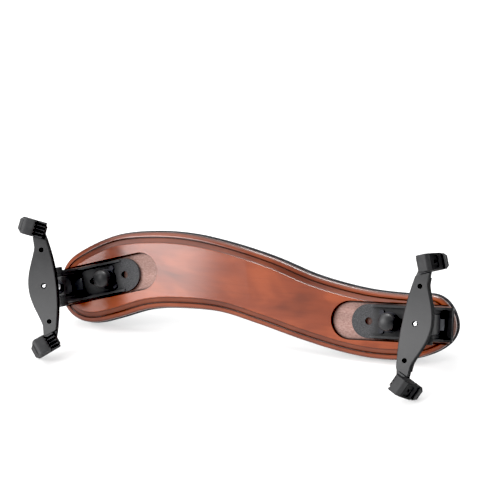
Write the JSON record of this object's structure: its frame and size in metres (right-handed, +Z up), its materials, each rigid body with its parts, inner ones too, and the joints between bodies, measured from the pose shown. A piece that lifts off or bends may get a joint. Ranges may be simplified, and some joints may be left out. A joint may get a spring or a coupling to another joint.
{
  "type": "violin shoulder rest",
  "caption": "Collapsible violin shoulder rest: curved varnished wood board with a foam pad, and two folding legs with height-adjustable forks and rubber boots.",
  "frame": {"origin": "centre of the bounding box's base, where the rest stands on its two lower boots and the lower edge of its pad", "axes": "+X along the board from the shoulder end to the chest end, -Y towards the violin, +Z up"},
  "size_m": [0.2678, 0.0996, 0.0865],
  "materials": {
    "wood": "satin varnish, reddish brown",
    "foam": "matte closed-cell foam",
    "nylon": "satin moulded nylon",
    "rubber": "matte soft rubber",
    "brass": "turned",
    "steel": "plated"
  },
  "bodies": {
    "board": {"wood_board": "wood", "foam_pad": "foam", "left_threaded_insert": "brass", "right_threaded_insert": "brass", "left_clamp_washer": "steel", "right_clamp_washer": "steel"},
    "left_knob": {"left_lock_knob": "nylon", "left_knob_screw": "steel"},
    "left_slider": {"left_slider_plate": "nylon", "left_hinge_pin_upper": "steel", "left_hinge_pin_lower": "steel", "left_detent_spring": "steel"},
    "left_leg": {"left_hinge_block": "nylon", "left_threaded_sleeve": "steel"},
    "left_post": {"left_threaded_post": "steel"},
    "left_fork_body": {"left_fork": "nylon", "left_rubber_boot_upper": "rubber", "left_rubber_boot_lower": "rubber"},
    "right_knob": {"right_lock_knob": "nylon", "right_knob_screw": "steel"},
    "right_slider": {"right_slider_plate": "nylon", "right_hinge_pin_upper": "steel", "right_hinge_pin_lower": "steel", "right_detent_spring": "steel"},
    "right_leg": {"right_hinge_block": "nylon", "right_threaded_sleeve": "steel"},
    "right_post": {"right_threaded_post": "steel"},
    "right_fork_body": {"right_fork": "nylon", "right_rubber_boot_upper": "rubber", "right_rubber_boot_lower": "rubber"}
  },
  "joints": [
    {"name": "left_knob_turn", "type": "hinge", "parent": "board", "child": "left_knob", "pos_m": [-0.09182, 0.02321, 0.0342], "axis": [-0.1282, -0.9499, 0.2851], "range_deg": [0, 360]},
    {"name": "left_slider_slide", "type": "slide", "parent": "board", "child": "left_slider", "axis": [0.9504, -0.0355, 0.309], "range_m": [0, 0.01]},
    {"name": "left_leg_fold", "type": "hinge", "parent": "left_slider", "child": "left_leg", "pos_m": [-0.11781, 0.01463, 0.02902], "axis": [-0.2834, 0.3106, 0.9073], "range_deg": [0, 58]},
    {"name": "left_post_lift", "type": "slide", "parent": "left_leg", "child": "left_post", "axis": [0.1056, -0.9303, 0.3514], "range_m": [-0.0064, 0.004]},
    {"name": "left_fork_turn", "type": "hinge", "parent": "left_post", "child": "left_fork_body", "pos_m": [-0.1138, -0.02072, 0.04238], "axis": [0.1056, -0.9303, 0.3514], "range_deg": [-2880, 1800]},
    {"name": "right_knob_turn", "type": "hinge", "parent": "board", "child": "right_knob", "pos_m": [0.09271, 0.01627, 0.02754], "axis": [0.0223, -0.9374, 0.3476], "range_deg": [0, 360]},
    {"name": "right_slider_slide", "type": "slide", "parent": "board", "child": "right_slider", "axis": [-0.9984, -0.0387, -0.0404], "range_m": [0, 0.01]},
    {"name": "right_leg_fold", "type": "hinge", "parent": "right_slider", "child": "right_leg", "pos_m": [0.1189, 0.00791, 0.03207], "axis": [0.0513, -0.3462, -0.9368], "range_deg": [0, 67]},
    {"name": "right_post_lift", "type": "slide", "parent": "right_leg", "child": "right_post", "axis": [-0.0648, -0.9372, 0.3428], "range_m": [-0.0048, 0.0056]},
    {"name": "right_fork_turn", "type": "hinge", "parent": "right_post", "child": "right_fork_body", "pos_m": [0.11695, -0.02021, 0.04235], "axis": [-0.0648, -0.9372, 0.3428], "range_deg": [-2160, 2520]}
  ],
  "couplings": [
    {"joint": "left_post_lift", "follows": "left_fork_turn", "m_per_rad": 0.00012732},
    {"joint": "right_post_lift", "follows": "right_fork_turn", "m_per_rad": 0.00012732}
  ]
}
